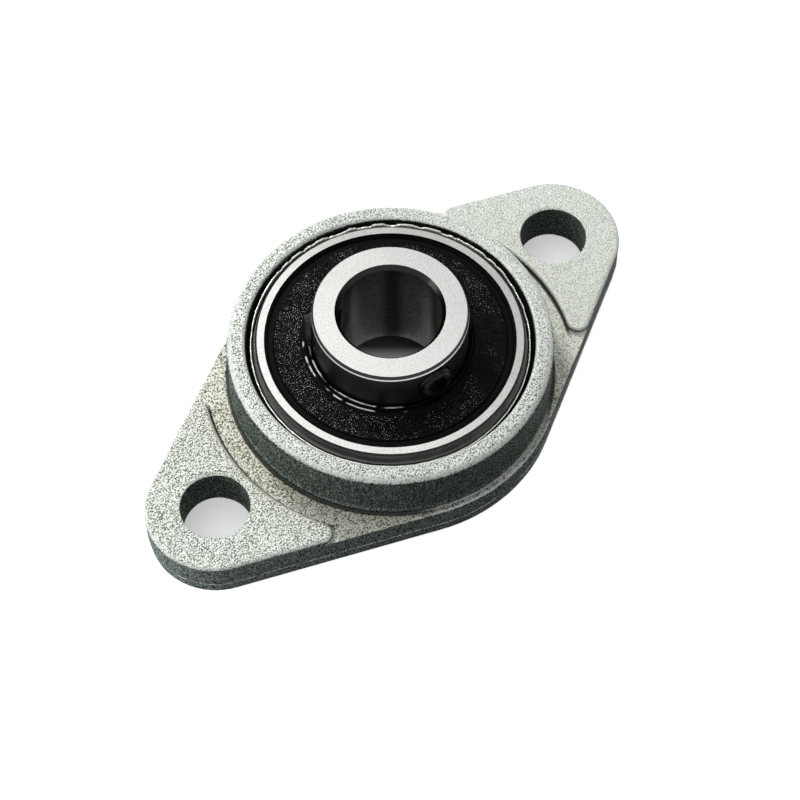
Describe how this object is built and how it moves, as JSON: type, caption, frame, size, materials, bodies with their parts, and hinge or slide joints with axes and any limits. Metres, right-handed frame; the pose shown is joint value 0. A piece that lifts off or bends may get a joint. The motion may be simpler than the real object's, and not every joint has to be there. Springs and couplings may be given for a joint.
{
  "type": "flanged pillow block bearing",
  "caption": "Two-bolt rhombic flange bearing unit: cast zinc housing with a self-aligning sealed ball bearing insert and a set-screw collar for a round shaft.",
  "frame": {"origin": "on the mounting face, on the axis of the shaft bore", "axes": "+Z along the shaft away from the mounting face, +X along the line of the two bolt holes"},
  "size_m": [0.048, 0.027, 0.0119],
  "materials": {
    "zinc_casting": "bare zinc die casting, tumbled to a fine grainy grey",
    "ring_steel": "hardened bearing steel, ground bright",
    "ball_steel": "lapped bearing steel, mirror bright",
    "cage_steel": "pressed steel strip",
    "seal_rubber": "black moulded rubber, finely grained",
    "black_oxide_steel": "blackened screw steel, lightly oiled"
  },
  "bodies": {
    "housing_body": {"housing": "zinc_casting"},
    "insert_body": {"outer_ring": "ring_steel", "front_seal": "seal_rubber", "rear_seal": "seal_rubber"},
    "inner_ring_body": {"inner_ring": "ring_steel"},
    "cage_body": {"cage_upper": "cage_steel", "cage_lower": "cage_steel", "cage_rivets": "cage_steel"},
    "ball_1_body": {"ball_1": "ball_steel"},
    "ball_2_body": {"ball_2": "ball_steel"},
    "ball_3_body": {"ball_3": "ball_steel"},
    "ball_4_body": {"ball_4": "ball_steel"},
    "ball_5_body": {"ball_5": "ball_steel"},
    "ball_6_body": {"ball_6": "ball_steel"},
    "ball_7_body": {"ball_7": "ball_steel"},
    "set_screw_1_body": {"set_screw_1": "black_oxide_steel"},
    "set_screw_2_body": {"set_screw_2": "black_oxide_steel"}
  },
  "joints": [
    {"name": "alignment_tilt", "type": "hinge", "parent": "housing_body", "child": "insert_body", "pos_m": [0, 0, 0.0051], "axis": [1, 0, 0], "range_deg": [-3, 3]},
    {"name": "shaft_spin", "type": "hinge", "parent": "insert_body", "child": "inner_ring_body", "pos_m": [0, 0, 0.0051], "axis": [0, 0, 1], "continuous": true},
    {"name": "cage_orbit", "type": "hinge", "parent": "insert_body", "child": "cage_body", "pos_m": [0, 0, 0.0051], "axis": [0, 0, 1], "continuous": true},
    {"name": "ball_1_roll", "type": "hinge", "parent": "cage_body", "child": "ball_1_body", "pos_m": [0.0075, 0, 0.0051], "axis": [0, 0, 1], "continuous": true},
    {"name": "ball_2_roll", "type": "hinge", "parent": "cage_body", "child": "ball_2_body", "pos_m": [0.00468, 0.00586, 0.0051], "axis": [0, 0, 1], "continuous": true},
    {"name": "ball_3_roll", "type": "hinge", "parent": "cage_body", "child": "ball_3_body", "pos_m": [-0.00167, 0.00731, 0.0051], "axis": [0, 0, 1], "continuous": true},
    {"name": "ball_4_roll", "type": "hinge", "parent": "cage_body", "child": "ball_4_body", "pos_m": [-0.00676, 0.00325, 0.0051], "axis": [0, 0, 1], "continuous": true},
    {"name": "ball_5_roll", "type": "hinge", "parent": "cage_body", "child": "ball_5_body", "pos_m": [-0.00676, -0.00325, 0.0051], "axis": [0, 0, 1], "continuous": true},
    {"name": "ball_6_roll", "type": "hinge", "parent": "cage_body", "child": "ball_6_body", "pos_m": [-0.00167, -0.00731, 0.0051], "axis": [0, 0, 1], "continuous": true},
    {"name": "ball_7_roll", "type": "hinge", "parent": "cage_body", "child": "ball_7_body", "pos_m": [0.00468, -0.00586, 0.0051], "axis": [0, 0, 1], "continuous": true},
    {"name": "set_screw_1_travel", "type": "slide", "parent": "inner_ring_body", "child": "set_screw_1_body", "axis": [-0.7771, 0.6293, 0], "range_m": [-0.0006, 0.0015]},
    {"name": "set_screw_2_travel", "type": "slide", "parent": "inner_ring_body", "child": "set_screw_2_body", "axis": [-0.1564, -0.9877, 0], "range_m": [-0.0006, 0.0015]}
  ],
  "couplings": [
    {"joint": "cage_orbit", "follows": "shaft_spin", "ratio": 0.3677},
    {"joint": "ball_1_roll", "follows": "shaft_spin", "ratio": -1.7573},
    {"joint": "ball_2_roll", "follows": "shaft_spin", "ratio": -1.7573},
    {"joint": "ball_3_roll", "follows": "shaft_spin", "ratio": -1.7573},
    {"joint": "ball_4_roll", "follows": "shaft_spin", "ratio": -1.7573},
    {"joint": "ball_5_roll", "follows": "shaft_spin", "ratio": -1.7573},
    {"joint": "ball_6_roll", "follows": "shaft_spin", "ratio": -1.7573},
    {"joint": "ball_7_roll", "follows": "shaft_spin", "ratio": -1.7573}
  ]
}
